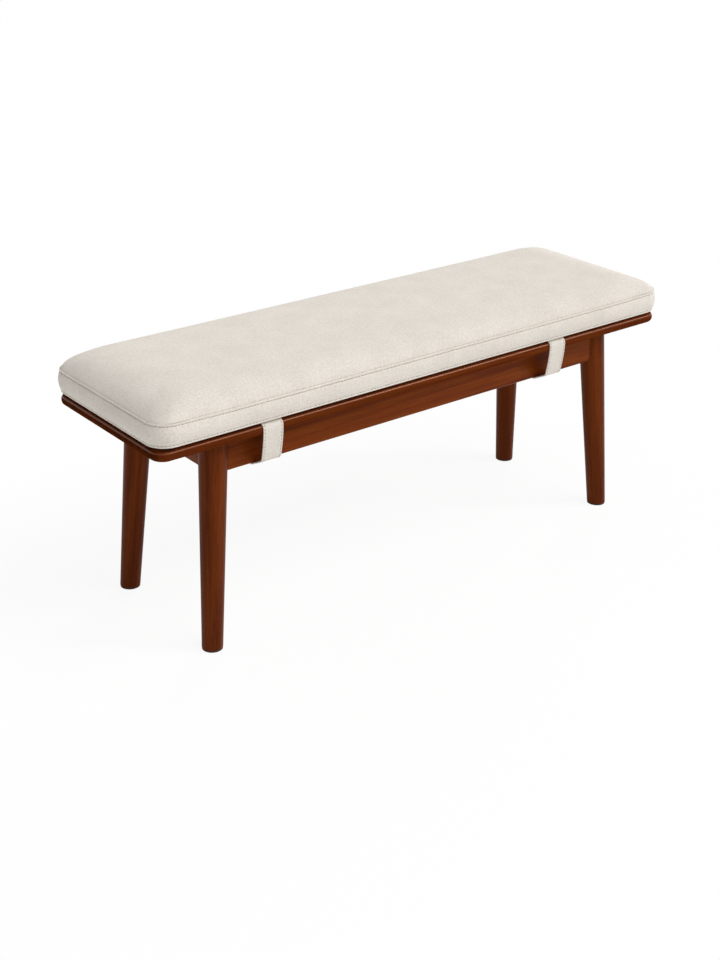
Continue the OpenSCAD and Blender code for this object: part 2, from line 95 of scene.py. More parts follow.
def wood(name, middle, along, dark, light, gloss):
    """Wood whose grain runs along a direction through a middle point, both in the bench's own frame.

    Year rings are broad soft streaks about 9 mm wide and 0.3 m long. Fibres are fine streaks, really
    0.2 mm wide and drawn 0.9 mm wide so that they show. Pores are short dark scratches in the surface.
    """
    material, tree, shader = new_material(name)
    turn = Vector((1, 0, 0)).rotation_difference(Vector(along)).to_euler()
    place = add(tree, "TexCoord")
    grain = add(tree, "Mapping", {"Vector": place.outputs["Object"], "Location": middle, "Rotation": turn},
                vector_type="TEXTURE")
    layers = {}
    for layer, length, width, detail in (("rings", 300, 9, 3), ("fibres", 60, 0.9, 2), ("pores", 9, 0.5, 1),
                                         ("cloud", 500, 70, 2)):
        size = add(tree, "Mapping", {"Vector": grain.outputs[0],
                                     "Scale": (length * MM, width * MM, width * MM)}, vector_type="TEXTURE")
        layers[layer] = add(tree, "TexNoise", {"Vector": size.outputs[0], "Scale": 1.0, "Detail": detail,
                                               "Distortion": 0.4 if layer == "rings" else 0.0})
    tone = add(tree, "Math", {0: layers["rings"].outputs["Fac"], 1: RINGS_SHARE}, operation="MULTIPLY")
    tone = add(tree, "Math", {0: layers["fibres"].outputs["Fac"], 1: FIBRES_SHARE, 2: tone.outputs[0]},
               operation="MULTIPLY_ADD")
    colour = add(tree, "ValToRGB", {"Fac": tone.outputs[0]})
    for stop, at, shown in zip(colour.color_ramp.elements, (DARK_AT, LIGHT_AT), (dark, light)):
        stop.position, stop.color = at, linear(shown)
    shade = add(tree, "MapRange", {"Value": layers["cloud"].outputs["Fac"], "From Min": 0.3, "From Max": 0.7,
                                   "To Min": CLOUD_LEAST, "To Max": CLOUD_MOST})
    pore = add(tree, "MapRange", {"Value": layers["pores"].outputs["Fac"], "From Min": 0.28, "From Max": 0.4,
                                  "To Min": PORE_SHADE, "To Max": 1.0})
    shade = add(tree, "Math", {0: shade.outputs[0], 1: pore.outputs[0]}, operation="MULTIPLY")
    full = add(tree, "VectorMath", {0: colour.outputs["Color"], "Scale": shade.outputs[0]}, operation="SCALE")
    rough = add(tree, "MapRange", {"Value": tone.outputs[0], "From Min": 0.35, "From Max": 0.65,
                                   "To Min": gloss + 0.05, "To Max": gloss - 0.03})
    bump = add(tree, "Bump", {"Height": pore.outputs[0], "Strength": 0.25, "Distance": PORE_DEPTH * MM})
    set_inputs(shader, {"Base Color": full.outputs[0], "Roughness": rough.outputs[0],
                        "Normal": bump.outputs[0], "Specular IOR Level": LACQUER_SHINE,
                        "Specular Tint": LACQUER_TINT})
    return material


def finish_with(node, material):
    """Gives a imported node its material."""
    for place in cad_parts[node].material_slots:
        place.material = material


STAIN_DARK = "#4f200d"
STAIN_LIGHT = "#6e3312"
SATIN = 0.3
for node in ("front_left_leg", "front_right_leg", "back_left_leg", "back_right_leg"):
    low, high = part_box(node)
    foot_low, foot_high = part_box(node.replace("leg", "foot_pad"))
    foot = (foot_low + foot_high) / 2
    middle = (low + high) / 2
    lean = Vector((middle.x - foot.x, middle.y - foot.y, middle.z - foot.z))
    finish_with(node, wood(f"stained_hardwood_{node}", middle, lean, STAIN_DARK, STAIN_LIGHT, SATIN))

# Aprons
# Four straight rails of the same stained hardwood, 59.5 mm high and 22 mm thick, with rounded lower
# edges. Their tenons are glued into the legs, and their ends are shaped to the legs' round faces.
RAIL_DARK = "#65280e"
RAIL_LIGHT = "#823e13"
RAIL_MIDDLE = (0, 0, 0.33)
LENGTHWISE, CROSSWISE = (1, 0, 0), (0, 1, 0)
along_bench = wood("stained_hardwood_long_rails", RAIL_MIDDLE, LENGTHWISE, RAIL_DARK, RAIL_LIGHT, SATIN)
across_bench = wood("stained_hardwood_end_rails", RAIL_MIDDLE, CROSSWISE, RAIL_DARK, RAIL_LIGHT, SATIN)
for node in ("front_apron", "back_apron"):
    finish_with(node, along_bench)
for node in ("left_end_apron", "right_end_apron"):
    finish_with(node, across_bench)

# Corner blocks and cross rail
# Plain softer wood, planed and left bare because it is never seen from above. The blocks are screwed
# across the corners, and the rail holds the middle of the seat board flat.
BARE_DARK = "#a37648"
BARE_LIGHT = "#c39a68"
BARE_MIDDLE = (0, 0, 0.34)
MATT = 0.6
bare_along = wood("planed_beech_blocks", BARE_MIDDLE, LENGTHWISE, BARE_DARK, BARE_LIGHT, MATT)
bare_across = wood("planed_beech_rail", BARE_MIDDLE, CROSSWISE, BARE_DARK, BARE_LIGHT, MATT)
for node in ("front_left_corner_block", "front_right_corner_block",
             "back_left_corner_block", "back_right_corner_block"):
    finish_with(node, bare_along)
finish_with("cross_rail", bare_across)

# Screws
# Countersunk steel screws with a cross recess, zinc plated: a grey metal with a slightly cloudy shine.
# They hold the corner blocks to the aprons, and the seat board from below.
CLOUDS_PER_M = 900.0
zinc, tree, shader = new_material("zinc_plated_steel")
place = add(tree, "TexCoord")
cloud = add(tree, "TexNoise", {"Vector": place.outputs["Object"], "Scale": CLOUDS_PER_M, "Detail": 3.0})
colour = add(tree, "ValToRGB", {"Fac": cloud.outputs["Fac"]})
colour.color_ramp.elements[0].color = linear("#8d9094")
colour.color_ramp.elements[1].color = linear("#b9bcbf")
rough = add(tree, "MapRange", {"Value": cloud.outputs["Fac"], "To Min": 0.25, "To Max": 0.45})
set_inputs(shader, {"Base Color": colour.outputs["Color"], "Roughness": rough.outputs[0], "Metallic": 1.0})
for node in ("corner_block_screws", "seat_board_screws"):
    finish_with(node, zinc)

# Seat board
# One board of stained hardwood, 18 mm thick, with round corners and a fully rounded edge. It lies on
# the aprons, screwed up from below, and overhangs them all round. A thin band of shine along the upper
# part of its edge is a painted highlight, set where the line of light falls; the rest of the board has no
# shine. Its ends are darker, partly as end grain that takes up more stain and partly as painted shade.
BOARD_MIDDLE = (0, 0, 0.37)
HIGHLIGHT_LINE_DOWN, HIGHLIGHT_LINE_HALF = 3.4, 1.7         # the painted highlight line's middle in mm below the top, and half its width
# specular level inside the band of the painted highlight, and on the rest of the board
HIGHLIGHT_LINE_SHINE, PLAIN_GLOSS = 0.6, 0.0
END_DARK_IN, END_DARK_FULL = 9.0, 3.0     # how far in from the ends the dark starts, and is full
# what the ends keep of their colour: partly end grain's extra stain, partly painted shade
END_STAIN_AND_SHADE = 0.6
board_wood = wood("stained_hardwood_board", BOARD_MIDDLE, LENGTHWISE, STAIN_DARK, STAIN_LIGHT, SATIN)
tree = board_wood.node_tree
shader = tree.nodes["Principled BSDF"]
board_end, board_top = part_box("seat_board")[1].x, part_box("seat_board")[1].z
spot = add(tree, "SeparateXYZ", {0: add(tree, "TexCoord").outputs["Object"]})
# a band of shine at a fixed height on the edge, where the line of light falls: a painted highlight
below = add(tree, "Math", {0: board_top - HIGHLIGHT_LINE_DOWN * MM, 1: spot.outputs["Z"]}, operation="SUBTRACT")
away = add(tree, "Math", {0: below.outputs[0]}, operation="ABSOLUTE")
painted_highlight = add(tree, "MapRange", {"Value": away.outputs[0], "From Max": HIGHLIGHT_LINE_HALF * MM,
                                "To Min": HIGHLIGHT_LINE_SHINE, "To Max": PLAIN_GLOSS},
             interpolation_type="SMOOTHSTEP")
# darker towards both ends of the board: end grain that takes up more stain, deepened as painted shade
from_middle = add(tree, "Math", {0: spot.outputs["X"]}, operation="ABSOLUTE")
end_stain_and_shade = add(tree, "MapRange", {"Value": from_middle.outputs[0], "From Min": board_end - END_DARK_IN * MM,
                                   "From Max": board_end - END_DARK_FULL * MM, "To Min": 1.0,
                                   "To Max": END_STAIN_AND_SHADE}, interpolation_type="SMOOTHSTEP")
stained = shader.inputs["Base Color"].links[0].from_socket
soaked_and_shaded = add(tree, "VectorMath", {0: stained, "Scale": end_stain_and_shade.outputs[0]}, operation="SCALE")
set_inputs(shader, {"Base Color": soaked_and_shaded.outputs[0], "Specular IOR Level": painted_highlight.outputs[0]})
finish_with("seat_board", board_wood)

# Foot pads
# Discs of dark pressed felt, 3 mm thick, glued under the feet so that the bench slides without a
# scratch: short tangled fibres and no shine.
FIBRE_CLUMP = 1.2
felt, tree, shader = new_material("pressed_felt")
place = add(tree, "TexCoord")
fibres = add(tree, "TexNoise", {"Vector": place.outputs["Object"], "Scale": 1 / (FIBRE_CLUMP * MM),
                                "Detail": 4.0, "Roughness": 0.7})
colour = add(tree, "ValToRGB", {"Fac": fibres.outputs["Fac"]})
colour.color_ramp.elements[0].color = linear("#150d09")
colour.color_ramp.elements[1].color = linear("#3a2a20")
bump = add(tree, "Bump", {"Height": fibres.outputs["Fac"], "Strength": 0.6, "Distance": 0.3 * MM})
set_inputs(shader, {"Base Color": colour.outputs["Color"], "Normal": bump.outputs[0],
                    "Roughness": 0.95, "Sheen Weight": 0.2})
for node in ("front_left_foot_pad", "front_right_foot_pad", "back_left_foot_pad", "back_right_foot_pad"):
    finish_with(node, felt)

# Base cloth
# A thin plain cloth that closes the cushion's underside. It is sewn to the turned-in rim of the cover
# and lies flat on the board, so that the foam never shows.
COVER_T = 2.2               # sizes in mm from here on
BASE_T = 1.2
BASE_ROOM = 0.1
CORNER_R = 30               # of the cushion's lower edge, seen from above
INNER_CORNER = 0.9
RIM_W = 20                  # how far the cover's rim turns in under the cushion
BULGE = 8.5                 # how far the side band stands out past the lower edge
MEET = 0.001                # points nearer than this become one
low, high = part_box("cushion_cover")
BOARD_TOP = low.z / MM
CROWN = (high.z - low.z) / MM
HALF_L = high.x / MM - BULGE
HALF_W = high.y / MM - BULGE


def outline(long_n, corner_n, end_n):
    """Spots round the cushion, anticlockwise seen from above and starting in the middle of its back.

    A spot is a share of the way along the core and a share across it, from -1 to 1, and the direction
    that the outline faces there. The counts are steps in a long side, in a corner and in an end.
    """
    def run(start, stop, steps):
        return np.linspace(start, stop, steps, endpoint=False)

    half = long_n // 2
    runs = (
        (run(0, -1, half), 1.0, 90.0), (-1.0, 1.0, run(90, 180, corner_n)),
        (-1.0, run(1, -1, end_n), 180.0), (-1.0, -1.0, run(180, 270, corner_n)),
        (run(-1, 1, long_n), -1.0, 270.0), (1.0, -1.0, run(270, 360, corner_n)),
        (1.0, run(-1, 1, end_n), 360.0), (1.0, 1.0, run(360, 450, corner_n)),
        (run(1, 0, half), 1.0, 450.0),
    )
    parts = [np.broadcast_arrays(*part) for part in runs]
    core_x, core_y, faces = (np.concatenate([part[k] for part in parts]) for k in range(3))
    return core_x, core_y, np.radians(faces)


def ring(spots, out, draw=0.0):
    """A rounded rectangle through the spots, grown by out from the cushion's lower edge.

    Each point is the core's corner times the spot's share, plus the corner radius in the spot's
    direction. The radius grows and shrinks by out, and further in it stays at INNER_CORNER of the
    lower edge's radius, or of half the width where that is less, so the last ring is a line along the
    middle. draw pulls the long sides in.
    """
    core_x, core_y, faces = spots
    half_w = HALF_W + out
    radius = np.maximum(CORNER_R + out, INNER_CORNER * np.minimum(CORNER_R, half_w))
    x = core_x * (HALF_L + out - radius) + radius * np.cos(faces)
    y = core_y * (half_w - radius) + (radius - draw) * np.sin(faces)
    return x, y


def loop_faces(rows, columns):
    """Faces between rows of points, each row a loop: along it, to the next row, back along that."""
    row, column = np.meshgrid(np.arange(rows - 1), np.arange(columns), indexing="ij")
    after = (column + 1) % columns
    return np.stack([row * columns + column, row * columns + after,
                     (row + 1) * columns + after, (row + 1) * columns + column], axis=-1).reshape(-1, 4)


def weld(mesh):
    """Merges the points that meet, and shades the faces smooth."""
    work = bmesh.new()
    work.from_mesh(mesh)
    bmesh.ops.remove_doubles(work, verts=work.verts, dist=MEET * MM)
    work.to_mesh(mesh)
    work.free()
    mesh.shade_smooth()


def put(name, data):
    """A mesh, lamp or camera as an object in the scene."""
    placed = bpy.data.objects.new(name, data)
    bpy.context.scene.collection.objects.link(placed)
    return placed


def make(name, points, uv=None, *, sharp):
    """A closed mesh from rows of points in mm, each row a loop, and the first and last row folded flat.

    Rows run so that the step along the loop crossed with the step to the next row points outwards.
    uv holds, in metres and for each row of faces, its lower and its upper edge, with one column more
    than the points have. Edges that turn by more than sharp degrees stay sharp.
    """
    mesh = bpy.data.meshes.new(name)
    mesh.from_pydata(points.reshape(-1, 3) * MM, [], loop_faces(*points.shape[:2]).tolist())
    if uv is not None:
        lower, upper = uv
        loops = np.stack([lower[:, :-1], lower[:, 1:], upper[:, 1:], upper[:, :-1]], axis=2)
        mesh.uv_layers.new(name="UVMap").data.foreach_set("uv", loops.astype(np.float32).ravel())
    weld(mesh)
    mesh.set_sharp_from_angle(angle=math.radians(sharp))
    return put(name, mesh)


STREAKS_ADD, SPECKS_ADD, CLOUDS_ADD, WEAVE_ADDS = 0.16, 0.34, 0.16, 0.03    # to the cloth's tone
TONE_START, WARP_AT, WEFT_AT = 0.09, 0.36, 0.62     # its start, and where the yarns' colours stand on it
SLUB_L, SLUB_W, SPECK, CLOUD, WEAVE_DEPTH = 26, 1.6, 4, 60, 0.35


def cloth(name, warp, weft, thread=1.5, slub=1.0):
    """Plain woven cloth in the piece's own UV map, whose unit is a metre.

    Warp and weft threads go over and under each other, a sine across times a sine along. Slubs are
    thicker stretches of single threads, drawn as long thin streaks in both directions. The threads are
    really about 0.7 mm apart and are drawn at twice that, so that they show.
    """
    material, tree, shader = new_material(name)
    place = add(tree, "TexCoord").outputs["UV"]
    turns = add(tree, "VectorMath", {0: place, "Scale": math.pi / (thread * MM)}, operation="SCALE")
    parts = add(tree, "SeparateXYZ", {0: turns.outputs[0]})
    across = add(tree, "Math", {0: parts.outputs["X"]}, operation="SINE")
    along = add(tree, "Math", {0: parts.outputs["Y"]}, operation="SINE")
    over = add(tree, "Math", {0: across.outputs[0], 1: along.outputs[0]}, operation="MULTIPLY")
    streaks = []
    for size in ((SLUB_L, SLUB_W, 1), (SLUB_W, SLUB_L, 1)):
        stretched = add(tree, "Mapping", {"Vector": place, "Scale": tuple(s * MM for s in size)},
                        vector_type="TEXTURE")
        streaks.append(add(tree, "TexNoise", {"Vector": stretched.outputs[0], "Scale": 1.0, "Detail": 2.0}))
    both = add(tree, "Math", {0: streaks[0].outputs["Fac"], 1: streaks[1].outputs["Fac"]}, operation="ADD")
    speck = add(tree, "TexNoise", {"Vector": place, "Scale": 1 / (SPECK * MM), "Detail": 3.0})
    cloud = add(tree, "TexNoise", {"Vector": place, "Scale": 1 / (CLOUD * MM), "Detail": 2.0})
    tone = TONE_START
    for pattern, share in ((both.outputs[0], STREAKS_ADD * slub), (speck.outputs["Fac"], SPECKS_ADD),
                           (cloud.outputs["Fac"], CLOUDS_ADD), (over.outputs[0], WEAVE_ADDS)):
        tone = add(tree, "Math", {0: pattern, 1: share, 2: tone}, operation="MULTIPLY_ADD").outputs[0]
    colour = add(tree, "ValToRGB", {"Fac": tone})
    for stop, at, yarn in zip(colour.color_ramp.elements, (WARP_AT, WEFT_AT), (warp, weft)):
        stop.position, stop.color = at, linear(yarn)
    height = add(tree, "Math", {0: over.outputs[0], 1: 0.5, 2: both.outputs[0]}, operation="MULTIPLY_ADD")
    bump = add(tree, "Bump", {"Height": height.outputs[0], "Strength": 0.5, "Distance": WEAVE_DEPTH * MM})
    set_inputs(shader, {"Base Color": colour.outputs["Color"], "Normal": bump.outputs[0],
                        "Roughness": 0.95, "Specular IOR Level": 0.15,
                        "Sheen Weight": 0.08, "Sheen Roughness": 0.5})
    return material


def flat_uv(points):
    """The plan of a sheet as its UV map in metres."""
    plan = np.concatenate([points, points[:, :1]], axis=1)[..., :2] * MM
    return plan[:-1], plan[1:]


spots = outline(long_n=200, corner_n=8, end_n=48)
inset = RIM_W + COVER_T + BASE_ROOM
edge_x, edge_y = ring(spots, -inset)
middle_x, middle_y = ring(spots, -HALF_W)
rows = [(middle_x, middle_y, 0), (edge_x, edge_y, 0), (edge_x, edge_y, BASE_T), (middle_x, middle_y, BASE_T)]
points = np.stack([np.stack([x, y, np.full_like(x, BOARD_TOP + z)], axis=-1) for x, y, z in rows])
base_cloth = make("base_cloth", points, flat_uv(points), sharp=40)
base_cloth.data.materials.append(cloth("plain_lining_cotton", "#d8cfc2", "#e6dfd4", thread=1.2, slub=0.6))
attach(base_cloth, "root")
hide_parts("cushion_base_cloth")

# Foam
# One block of cream polyether foam, cut a little crowned, which fills the cover from wall to wall and
# gives the cushion its shape. It stands on the base cloth.
LOWER_EDGE, SEAM = 6, 41.5  # heights over the board
SEAM_RISE = 4               # how much higher the seam stands at both ends
SHOULDER_W = 46             # how far in the roll reaches from the seam
CROWN_FALL = 2              # from the middle line to the roll
SIDE_DRAW = 2
END_FALL, END_FALL_L = 12.5, 90     # how far the top falls, over the last stretch at each end
ROLL_POWER = 0.92
RIM_POWER = 1.3
BULGE_TURN = math.radians(160)
RIM_STEPS, BAND_STEPS, ROLL_STEPS, CROWN_STEPS = 60, 200, 400, 200


def bulge(up):
    """How far the side band stands out at a height: part of a half wave."""
    return BULGE * np.sin(BULGE_TURN * up / SEAM)


def profile():
    """The cushion's side, seen along an edge: distance out and height, and the length from the seam.

    A rim that curls up as a power of the way out, then the bulging band, then a roll that is a fat
    quarter of an oval, and then a crown that rises as a square to the middle.
    """
    way = np.linspace(0, 1, RIM_STEPS)
    rim = (-RIM_W + way * (RIM_W + bulge(LOWER_EDGE)), LOWER_EDGE * way ** RIM_POWER)
    band_up = np.linspace(LOWER_EDGE, SEAM, BAND_STEPS)
    turn = np.linspace(0, np.pi / 2, ROLL_STEPS)
    roll_out = bulge(SEAM) - SHOULDER_W * (1 - np.cos(turn) ** ROLL_POWER)
    roll_up = SEAM + (CROWN - CROWN_FALL - SEAM) * np.sin(turn) ** ROLL_POWER
    crown_out = np.linspace(roll_out[-1], -HALF_W, CROWN_STEPS)
    crown_up = CROWN - CROWN_FALL * ((HALF_W + crown_out) / (HALF_W + roll_out[-1])) ** 2
    out = np.concatenate([rim[0], bulge(band_up)[1:], roll_out[1:], crown_out[1:]])
    up = np.concatenate([rim[1], band_up[1:], roll_up[1:], crown_up[1:]])
    length = np.concatenate([[0], np.cumsum(np.hypot(np.diff(out), np.diff(up)))])
    return out, up, length - length[RIM_STEPS + BAND_STEPS - 2]


side_out, side_up, side_q = profile()


def level(q, depth=0.0):
    """The profile's distance out and height at lengths q from the seam, moved a depth inwards."""
    across = np.stack([np.gradient(side_up, side_q), -np.gradient(side_out, side_q)])
    across = across / np.linalg.norm(across, axis=0)
    out = np.interp(q, side_q, side_out) - depth * np.interp(q, side_q, across[0])
    return out, np.interp(q, side_q, side_up) - depth * np.interp(q, side_q, across[1])


def form(spots, out, up):
    """Rings of the outline grown by out at each height up.

    The long sides are drawn in most halfway up the band and halfway along. The seam rises near each
    end as the eighth power of the way out, which fades to none at the board and at the top. The top
    falls towards each end as the square of the way in, and fades to none at the seam as a square root.
    """
    out, up = np.asarray(out)[:, None], np.asarray(up)[:, None]
    wave = np.where(up < SEAM, np.sin(np.pi * np.clip(up, 0, SEAM) / SEAM), 0)
    x, y = ring(spots, out, SIDE_DRAW * wave * (1 - spots[0] ** 2))
    end = END_FALL * (np.maximum(0, np.abs(x) - HALF_L + END_FALL_L) / END_FALL_L) ** 2
    top = np.clip((up - SEAM) / (CROWN - SEAM), 0, 1)
    rise = SEAM_RISE * np.minimum(1, np.abs(x) / HALF_L) ** 8 * np.clip(up / SEAM, 0, 1) * (1 - top)
    return np.stack([x, y, BOARD_TOP + up + rise - end * np.sqrt(top)], axis=-1)


Q_START, Q_END = side_q[0], side_q[-1]
Q_FOOT = np.interp(bulge(LOWER_EDGE), side_out[:RIM_STEPS], side_q[:RIM_STEPS])
FOAM_ROOM = 0.3
OFF_FOOT, UNDER_SEAM, OVER_SEAM = 8, 3, 6       # how far the foam's rows keep from these lines
FOAM_BAND_ROWS, FOAM_TOP_ROWS = 5, 14
spots = outline(long_n=80, corner_n=6, end_n=20)
in_cover = COVER_T + FOAM_ROOM
foot = [(-HALF_W, BASE_T), (-RIM_W - in_cover, BASE_T), (-in_cover, 2 * LOWER_EDGE)]
foam_q = np.concatenate([np.linspace(Q_FOOT + OFF_FOOT, -UNDER_SEAM, FOAM_BAND_ROWS),
                         np.linspace(OVER_SEAM, Q_END, FOAM_TOP_ROWS)])
walls = np.stack(level(foam_q, in_cover))
walls[0, -1] = -HALF_W
out, up = np.concatenate([np.array(foot).T, walls], axis=1)
foam = make("foam_block", form(spots, out, up), sharp=50)

# matt and cream, an open sponge of small cells
CELL = 0.6
fill, tree, shader = new_material("open_cell_foam")
cells = add(tree, "TexVoronoi", {"Vector": add(tree, "TexCoord").outputs["Object"], "Scale": 1 / (CELL * MM)})
colour = add(tree, "ValToRGB", {"Fac": cells.outputs["Distance"]})
colour.color_ramp.elements[0].color = linear("#e3d3a8")
colour.color_ramp.elements[1].color = linear("#f2e8cc")
bump = add(tree, "Bump", {"Height": cells.outputs["Distance"], "Strength": 0.5, "Distance": 0.3 * MM})
set_inputs(shader, {"Base Color": colour.outputs["Color"], "Normal": bump.outputs[0], "Roughness": 1.0})
foam.data.materials.append(fill)
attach(foam, "root")
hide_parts("cushion_foam")

# Cushion cover
# A boxed cover of oatmeal cloth: a top panel that rolls over the foam's edge, and a side band. The seam
# between them is turned down and topstitched, and so is the band's lower edge, where the rim turns in.
SWELL = 0.9                 # the simulation moves no point further than this
SLIM_CROWN, SLIM_OVER = 0.9, 60     # how much lower the top starts, reached this far from the seam
SLIM_BAND = 0.94            # how much of its bulge the band starts with
SIM_FRAMES = 20
TINY = 1e-9                 # keeps a share of nothing from being divided by nothing


def length_round(spots):
    """How far round the cushion's lower edge each spot is, and the whole way round, in mm."""
    x, y = ring(spots, 0.0)
    steps = np.hypot(np.diff(x, append=x[:1]), np.diff(y, append=y[:1]))
    return np.concatenate([[0], np.cumsum(steps)])


def smooth_rows(values, at, closed=False):
    """Values between whole rows by the cubic B-spline's four weights, which leave no crease.

    Past an open end the rows go on by turning the next one over, so that the end row keeps its place.
    """
    if closed:
        values = np.concatenate([values[-1:], values, values[:3]])
    else:
        values = np.concatenate([2 * values[:1] - values[1:2], values, 2 * values[-1:] - values[-2:-1],
                                 3 * values[-1:] - 2 * values[-2:-1]])
    first = np.floor(at).astype(int)
    t = (at - first).reshape(-1, *[1] * (values.ndim - 1))
    return ((1 - t) ** 3 * values[first] + (3 * t ** 3 - 6 * t ** 2 + 4) * values[first + 1]
            + (-3 * t ** 3 + 3 * t ** 2 + 3 * t + 1) * values[first + 2] + t ** 3 * values[first + 3]) / 6


def inflate(start, pinned):
    """Blows up a closed form of rows and columns with Cloth and gives back how far each point moves.

    The pinned rows stay where they are: the rim, the lower edge and the seam.
    """
    rows, columns = start.shape[:2]
    # triangles from the back half of the first row, and of the last, to its front half close the form
    at = np.arange(-columns // 4, columns // 4)
    back, back_next = at % columns, (at + 1) % columns
    front, front_next = (columns // 2 - at) % columns, (columns // 2 - at - 1) % columns
    caps = []
    for first, flip in ((0, 1), ((rows - 1) * columns, -1)):
        both = np.concatenate([np.stack([back, front, front_next], axis=-1),
                               np.stack([back, front_next, back_next], axis=-1)])
        real = (both[:, 0] != both[:, 1]) & (both[:, 1] != both[:, 2]) & (both[:, 0] != both[:, 2])
        caps += (first + both[real][:, ::flip]).tolist()
    mesh = bpy.data.meshes.new("swelling")
    mesh.from_pydata(start.reshape(-1, 3) * MM, [], loop_faces(rows, columns).tolist() + caps)
    pad = put("swelling", mesh)
    held = pad.vertex_groups.new(name="held")
    held.add((np.array(pinned)[:, None] * columns + np.arange(columns)).ravel().tolist(), 1.0, "REPLACE")
    soft = pad.modifiers.new("blown_up", "CLOTH")
    soft.settings.quality = 6
    soft.settings.mass = 0.3
    soft.settings.use_pressure = True
    soft.settings.uniform_pressure_force = 4.0
    soft.settings.vertex_group_mass = "held"
    soft.settings.effector_weights.gravity = 0
    soft.point_cache.frame_start, soft.point_cache.frame_end = 1, SIM_FRAMES
    for frame_now in range(1, SIM_FRAMES + 1):
        bpy.context.scene.frame_set(frame_now)
    blown = pad.evaluated_get(bpy.context.evaluated_depsgraph_get())
    ends = np.empty(rows * columns * 3, np.float32)
    blown.data.vertices.foreach_get("co", ends)
    bpy.data.objects.remove(pad)
    bpy.data.meshes.remove(mesh)
    bpy.context.scene.frame_set(1)
    return ends.reshape(start.shape) / MM - start


SIM_ROWS_RIM, SIM_ROWS_BAND, SIM_ROWS_TOP, SIM_STOP = 2, 6, 22, 6
sim_spots = outline(long_n=120, corner_n=5, end_n=30)
sim_q = np.concatenate([np.linspace(Q_START, Q_FOOT, SIM_ROWS_RIM, endpoint=False),
                        np.linspace(Q_FOOT, 0, SIM_ROWS_BAND, endpoint=False),
                        np.linspace(0, Q_END - SIM_STOP, SIM_ROWS_TOP)])
seam_row = SIM_ROWS_RIM + SIM_ROWS_BAND
full_out, full_up = level(sim_q)
full = form(sim_spots, full_out, full_up)
slim_out = np.where((sim_q > Q_FOOT) & (sim_q < 0), full_out * SLIM_BAND, full_out)
slim_up = np.where(sim_q > 0, full_up - SLIM_CROWN * np.clip(sim_q / SLIM_OVER, 0, 1), full_up)
start = form(sim_spots, slim_out, slim_up)
moved = inflate(start, [*range(SIM_ROWS_RIM + 1), seam_row])
far = np.maximum(np.linalg.norm(moved, axis=-1, keepdims=True), TINY)
lively = start + moved * (SWELL * np.tanh(far / SWELL) / far) - full

# rows close together where the seam and the lower edge are worked, and further apart between them:
# so far on each side of those lines, so far above the seam, and so far over the roll
SEAM_STEP, OPEN_STEP = 0.5, 2.6
WORKED, WORKED_ABOVE, ROLLED = 7, 4, 40
RIM_ROWS, PLAIN_ROWS, TOP_ROWS = 4, 8, 26
rows_q = np.concatenate([
    np.linspace(Q_START, Q_FOOT, RIM_ROWS, endpoint=False),
    np.arange(Q_FOOT, Q_FOOT + WORKED, SEAM_STEP),
    np.linspace(Q_FOOT + WORKED, -WORKED, PLAIN_ROWS, endpoint=False),
    np.arange(-WORKED, WORKED_ABOVE + 0.01, SEAM_STEP),
    np.arange(WORKED_ABOVE + OPEN_STEP, ROLLED, OPEN_STEP),
    np.linspace(ROLLED + 1, Q_END, TOP_ROWS),
])
spots = outline(long_n=340, corner_n=16, end_n=80)
round_at = length_round(spots)
out, up = level(rows_q)
out[-1] = -HALF_W
skin = form(spots, out, up)

sim_round = length_round(sim_spots)
columns_at = np.interp(round_at[:-1], sim_round, np.arange(len(sim_round)))
lively = np.swapaxes(smooth_rows(np.swapaxes(lively, 0, 1), columns_at, closed=True), 0, 1)
rows_at = np.interp(rows_q, sim_q, np.arange(len(sim_q)))
below = rows_q < 0
skin[below] += smooth_rows(lively[:seam_row + 1], rows_at[below])
skin[~below] += smooth_rows(lively[seam_row:], rows_at[~below] - seam_row)


def outward(points):
    """Unit normals: the step along the loop crossed with the step to the next row."""
    normal = np.cross(np.roll(points, -1, 1) - np.roll(points, 1, 1), np.gradient(points, axis=0))
    return normal / np.maximum(np.linalg.norm(normal, axis=-1, keepdims=True), TINY)


def hill(q, middle, width):
    """A rounded hill across the profile: e to the minus square of the way from its middle in widths."""
    return np.exp(-((q - middle) / width) ** 2)


def step(q, start, stop):
    """A soft step from 0 to 1 between two places: three squares of the way less two of its cubes."""
    t = np.clip((q - start) / (stop - start), 0, 1)
    return t * t * (3 - 2 * t)


# the seam allowance lies under the band and lifts it, the stitches pull it in, and the cloth puckers there
STITCH_Q = -3.9
HEM_Q = Q_FOOT + 3.2
FOLD_H, FOLD_RISE, FOLD_FALL = 1.4, (STITCH_Q, STITCH_Q + 2), (-0.9, 0.3)
HEM_H, HEM_RISE, HEM_FALL = 0.9, (Q_FOOT - 1, Q_FOOT + 0.7), (HEM_Q - 1.2, HEM_Q)
GROOVE_H, GROOVE_W = 1.1, 0.75
DIP_H, DIP_Q, DIP_W = 0.9, 0.8, 0.9
PUCKER_H, PUCKER_BANDS = 0.25, ((STITCH_Q - 2, 5), (2, 4), (HEM_Q + 2, 4))
PUCKER_WAVES = ((271, 1.0, 0.0), (233, 0.8, 1.3), (317, 0.6, 2.1))      # how many round, height, shift
PUCKER_TOP = 1.6
q = rows_q[:, None]
around = 2 * np.pi * round_at[None, :-1] / round_at[-1]
pucker = sum(height * np.sin(count * around + shift) for count, height, shift in PUCKER_WAVES) / PUCKER_TOP
work = FOLD_H * step(q, *FOLD_RISE) * (1 - step(q, *FOLD_FALL))
work = work + HEM_H * step(q, *HEM_RISE) * (1 - step(q, *HEM_FALL))
work = work - GROOVE_H * (hill(q, STITCH_Q, GROOVE_W) + hill(q, HEM_Q, GROOVE_W))
work = work - DIP_H * hill(q, DIP_Q, DIP_W)
work = work + PUCKER_H * pucker * sum(hill(q, *band) for band in PUCKER_BANDS)
work = work * step(q, Q_START, Q_FOOT)
skin += work[..., None] * outward(skin)

